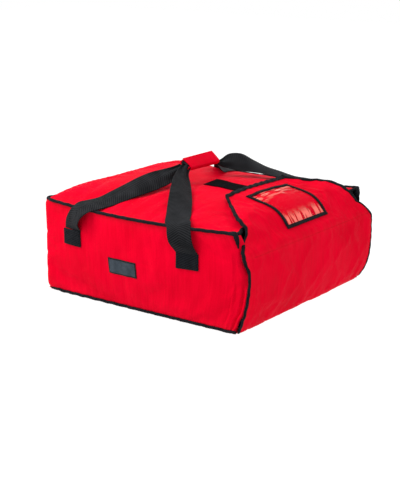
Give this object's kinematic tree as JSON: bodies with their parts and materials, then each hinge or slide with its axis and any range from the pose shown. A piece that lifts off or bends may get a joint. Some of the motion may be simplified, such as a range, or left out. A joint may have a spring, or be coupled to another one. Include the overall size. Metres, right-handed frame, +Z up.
{
  "type": "pizza delivery bag",
  "caption": "Soft-sided insulated bag for flat food boxes, with a padded fold-over flap, a clear ticket window and two webbing straps joined in a wrapped hand grip.",
  "frame": {"origin": "centre of the whole part's box, on the surface that it stands on", "axes": "+Z up, -Y towards the mouth and the flap, +X to the right seen from the mouth"},
  "size_m": [0.5416, 0.5588, 0.2951],
  "materials": {
    "red_cloth": "matt coated polyester weave",
    "foam": "insulating foam pad",
    "lining": "coated lining cloth",
    "webbing": "ribbed woven webbing",
    "binding": "woven binding tape",
    "tape": "hook and loop pile",
    "label": "blank woven patch",
    "film": "clear soft vinyl"
  },
  "bodies": {
    "bag": {"outer_bottom": "red_cloth", "outer_left": "red_cloth", "outer_right": "red_cloth", "outer_back": "red_cloth", "outer_top": "red_cloth", "pad_bottom": "foam", "pad_left": "foam", "pad_right": "foam", "pad_back": "foam", "pad_top": "foam", "lining_bottom": "lining", "lining_left": "lining", "lining_right": "lining", "lining_back": "lining", "lining_top": "lining", "mouth_binding_left": "binding", "mouth_binding_right": "binding", "mouth_binding_top": "binding", "piping_top": "binding", "piping_bottom": "binding", "top_loop_strip": "tape", "side_label": "label", "strap_tab_left_front": "webbing", "strap_tab_left_back": "webbing", "strap_tab_right_front": "webbing", "strap_tab_right_back": "webbing", "strap_leg_left_front": "webbing", "strap_leg_left_back": "webbing", "strap_leg_right_front": "webbing", "strap_leg_right_back": "webbing"},
    "flap_front": {"outer_flap_front": "red_cloth", "pad_flap_front": "foam", "lining_flap_front": "lining", "flap_binding_left": "binding", "flap_binding_right": "binding"},
    "flap_top": {"outer_flap_top": "red_cloth", "pad_flap_top": "foam", "lining_flap_top": "lining", "flap_binding_top": "binding", "flap_hook_tape": "tape", "window_film": "film", "window_frame": "binding"},
    "grip": {"strap_front_middle": "webbing", "strap_back_middle": "webbing", "wrap_base": "red_cloth", "wrap_loop_tape": "tape"},
    "wrap_cover": {"wrap_cover": "red_cloth", "wrap_hook_tape": "tape"}
  },
  "joints": [
    {"name": "flap_front_hinge", "type": "hinge", "parent": "bag", "child": "flap_front", "pos_m": [0.00005, -0.24478, 0], "axis": [1, 0, 0], "range_deg": [0, 59]},
    {"name": "flap_top_hinge", "type": "hinge", "parent": "flap_front", "child": "flap_top", "pos_m": [0.00005, -0.27548, 0.16], "axis": [1, 0, 0], "range_deg": [0, 84]},
    {"name": "grip_lift", "type": "slide", "parent": "bag", "child": "grip", "axis": [0, 0, 1], "range_m": [0, 0.07], "deforming": ["strap_leg_left_front", "strap_leg_left_back", "strap_leg_right_front", "strap_leg_right_back"]},
    {"name": "wrap_cover_hinge", "type": "hinge", "parent": "grip", "child": "wrap_cover", "pos_m": [0.00805, 0.04481, 0.29247], "axis": [-1, 0, 0], "range_deg": [0, 150]}
  ]
}
